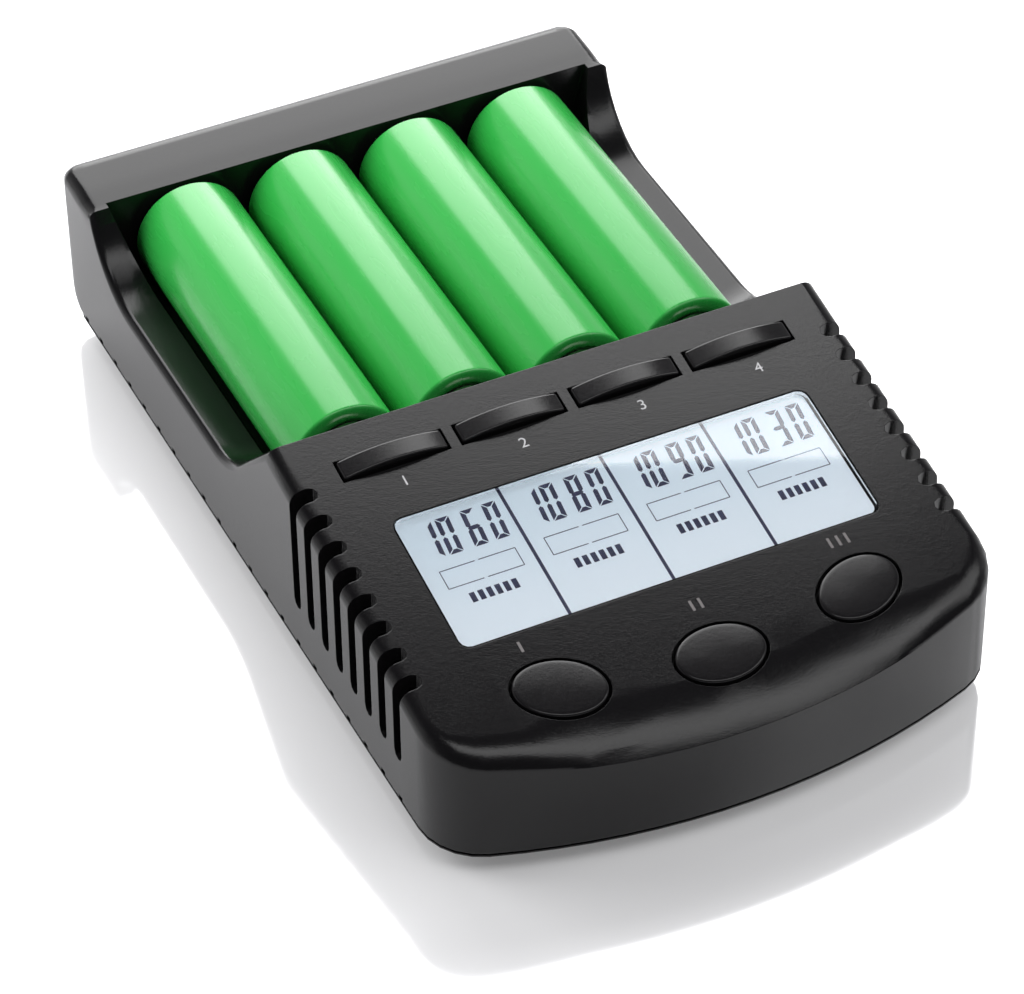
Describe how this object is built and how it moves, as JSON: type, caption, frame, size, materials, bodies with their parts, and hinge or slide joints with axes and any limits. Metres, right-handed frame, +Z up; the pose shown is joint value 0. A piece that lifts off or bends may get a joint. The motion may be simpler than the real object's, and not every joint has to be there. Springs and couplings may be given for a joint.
{
  "type": "battery charger",
  "caption": "Desktop charger for round AA cells: a sloping control panel with a display, keys and buttons in front of an open bay with sprung contacts.",
  "frame": {"origin": "on the surface that the charger stands on, under the middle of its body", "axes": "+X across the bays to the right, +Y from the front to the head at the back, +Z up"},
  "size_m": [0.0722, 0.1214, 0.0284],
  "materials": {
    "shell": "fine-grained dark grey",
    "keys": "satin",
    "inner_plastic": "matte",
    "window": "clear and glossy",
    "display_glass": "glossy",
    "diffuser": "translucent white",
    "cell_wrapper": "glossy green film",
    "contact_steel": "nickel plated",
    "screw_steel": "zinc plated",
    "circuit_board": "solder mask",
    "ferrite": "matte",
    "capacitor_can": "sleeved",
    "foot_rubber": "matte"
  },
  "bodies": {
    "charger": {"top_housing": "shell", "base_cover": "shell", "cell_1": "cell_wrapper", "cell_2": "cell_wrapper", "cell_3": "cell_wrapper", "cell_4": "cell_wrapper", "positive_contact_1": "contact_steel", "positive_contact_2": "contact_steel", "positive_contact_3": "contact_steel", "positive_contact_4": "contact_steel", "slider_spring_1": "contact_steel", "slider_spring_2": "contact_steel", "slider_spring_3": "contact_steel", "slider_spring_4": "contact_steel", "display_window": "window", "lcd_panel": "display_glass", "backlight": "diffuser", "display_board": "circuit_board", "power_board": "circuit_board", "dc_jack": "inner_plastic", "inductor": "ferrite", "capacitor": "capacitor_can", "slot_switch_1": "inner_plastic", "slot_switch_2": "inner_plastic", "slot_switch_3": "inner_plastic", "slot_switch_4": "inner_plastic", "left_switch": "inner_plastic", "middle_switch": "inner_plastic", "right_switch": "inner_plastic", "screw_1": "screw_steel", "screw_2": "screw_steel", "screw_3": "screw_steel", "screw_4": "screw_steel", "foot_1": "foot_rubber", "foot_2": "foot_rubber", "foot_3": "foot_rubber", "foot_4": "foot_rubber"},
    "slider_1": {"negative_slider_1": "contact_steel"},
    "slider_2": {"negative_slider_2": "contact_steel"},
    "slider_3": {"negative_slider_3": "contact_steel"},
    "slider_4": {"negative_slider_4": "contact_steel"},
    "key_1": {"slot_key_1": "keys", "slot_plunger_1": "inner_plastic"},
    "key_2": {"slot_key_2": "keys", "slot_plunger_2": "inner_plastic"},
    "key_3": {"slot_key_3": "keys", "slot_plunger_3": "inner_plastic"},
    "key_4": {"slot_key_4": "keys", "slot_plunger_4": "inner_plastic"},
    "left_button_body": {"left_button": "keys", "left_plunger": "inner_plastic"},
    "middle_button_body": {"middle_button": "keys", "middle_plunger": "inner_plastic"},
    "right_button_body": {"right_button": "keys", "right_plunger": "inner_plastic"}
  },
  "joints": [
    {"name": "slider_1_slide", "type": "slide", "parent": "charger", "child": "slider_1", "axis": [0, 1, 0], "range_m": [-0.005, 0], "stiffness_N_per_m": 400, "springref_m": 0.005, "deforming": ["slider_spring_1"]},
    {"name": "slider_2_slide", "type": "slide", "parent": "charger", "child": "slider_2", "axis": [0, 1, 0], "range_m": [-0.005, 0], "stiffness_N_per_m": 400, "springref_m": 0.005, "deforming": ["slider_spring_2"]},
    {"name": "slider_3_slide", "type": "slide", "parent": "charger", "child": "slider_3", "axis": [0, 1, 0], "range_m": [-0.005, 0], "stiffness_N_per_m": 400, "springref_m": 0.005, "deforming": ["slider_spring_3"]},
    {"name": "slider_4_slide", "type": "slide", "parent": "charger", "child": "slider_4", "axis": [0, 1, 0], "range_m": [-0.005, 0], "stiffness_N_per_m": 400, "springref_m": 0.005, "deforming": ["slider_spring_4"]},
    {"name": "key_1_press", "type": "slide", "parent": "charger", "child": "key_1", "axis": [0, 0.1932, -0.9812], "range_m": [0, 0.0005], "stiffness_N_per_m": 1200, "springref_m": -0.0003},
    {"name": "key_2_press", "type": "slide", "parent": "charger", "child": "key_2", "axis": [0, 0.1932, -0.9812], "range_m": [0, 0.0005], "stiffness_N_per_m": 1200, "springref_m": -0.0003},
    {"name": "key_3_press", "type": "slide", "parent": "charger", "child": "key_3", "axis": [0, 0.1932, -0.9812], "range_m": [0, 0.0005], "stiffness_N_per_m": 1200, "springref_m": -0.0003},
    {"name": "key_4_press", "type": "slide", "parent": "charger", "child": "key_4", "axis": [0, 0.1932, -0.9812], "range_m": [0, 0.0005], "stiffness_N_per_m": 1200, "springref_m": -0.0003},
    {"name": "left_button_press", "type": "slide", "parent": "charger", "child": "left_button_body", "axis": [0, 0.1932, -0.9812], "range_m": [0, 0.0005], "stiffness_N_per_m": 1200, "springref_m": -0.0003},
    {"name": "middle_button_press", "type": "slide", "parent": "charger", "child": "middle_button_body", "axis": [0, 0.1932, -0.9812], "range_m": [0, 0.0005], "stiffness_N_per_m": 1200, "springref_m": -0.0003},
    {"name": "right_button_press", "type": "slide", "parent": "charger", "child": "right_button_body", "axis": [0, 0.1932, -0.9812], "range_m": [0, 0.0005], "stiffness_N_per_m": 1200, "springref_m": -0.0003}
  ]
}
